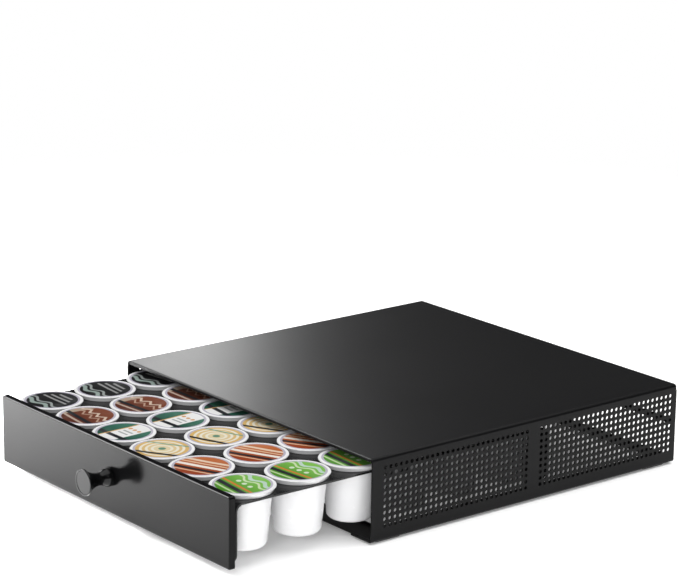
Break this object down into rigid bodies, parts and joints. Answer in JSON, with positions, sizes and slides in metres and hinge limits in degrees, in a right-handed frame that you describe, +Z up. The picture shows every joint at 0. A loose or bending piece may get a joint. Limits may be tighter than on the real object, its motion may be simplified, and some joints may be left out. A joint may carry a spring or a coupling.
{
  "type": "coffee pod drawer",
  "caption": "Low perforated sheet-steel housing with a sliding tray that holds coffee pods in a grid of round holes, pulled out by a round knob.",
  "frame": {"origin": "bottom centre of the whole object at rest, with the drawer part open as in the picture; z = 0 is the surface it stands on", "axes": "+X to the right seen from the front, +Y to the back, +Z up; the drawer opens toward -Y"},
  "size_m": [0.328, 0.482, 0.0696],
  "materials": {
    "black_powder_coat": "semi-gloss powder coat",
    "tray_powder_coat": "semi-gloss powder coat",
    "front_powder_coat": "semi-gloss powder coat",
    "knob_black": "gloss",
    "black_nylon": "matt",
    "pad_rubber": "matt",
    "zinc_steel": "zinc plated",
    "cup_white": "gloss",
    "lid_print_1": "printed foil",
    "lid_print_2": "printed foil",
    "lid_print_3": "printed foil",
    "lid_print_4": "printed foil",
    "lid_print_5": "printed foil",
    "lid_print_6": "printed foil"
  },
  "bodies": {
    "housing": {"housing_shell": "black_powder_coat", "front_cross_strip": "black_powder_coat", "rear_cross_strip": "black_powder_coat", "rear_stop_rod": "black_powder_coat", "deck_guide_left": "black_nylon", "deck_guide_right": "black_nylon", "drawer_stops": "black_powder_coat", "base_pads": "pad_rubber"},
    "drawer": {"pod_tray": "tray_powder_coat", "drawer_front": "front_powder_coat", "front_spacers": "black_nylon", "front_rivets": "zinc_steel", "drawer_knob": "knob_black", "knob_washer": "zinc_steel", "knob_screw": "zinc_steel", "rear_glide_left": "black_nylon", "rear_glide_right": "black_nylon", "glide_rivets": "zinc_steel", "pod_cups_1": "cup_white", "pod_cups_2": "cup_white", "pod_cups_3": "cup_white", "pod_cups_4": "cup_white", "pod_cups_5": "cup_white", "pod_cups_6": "cup_white", "pod_lids_1": "lid_print_1", "pod_lids_2": "lid_print_2", "pod_lids_3": "lid_print_3", "pod_lids_4": "lid_print_4", "pod_lids_5": "lid_print_5", "pod_lids_6": "lid_print_6"}
  },
  "joints": [
    {"name": "drawer_slide", "type": "slide", "parent": "housing", "child": "drawer", "axis": [0, -1, 0], "range_m": [-0.129, 0.066]}
  ]
}
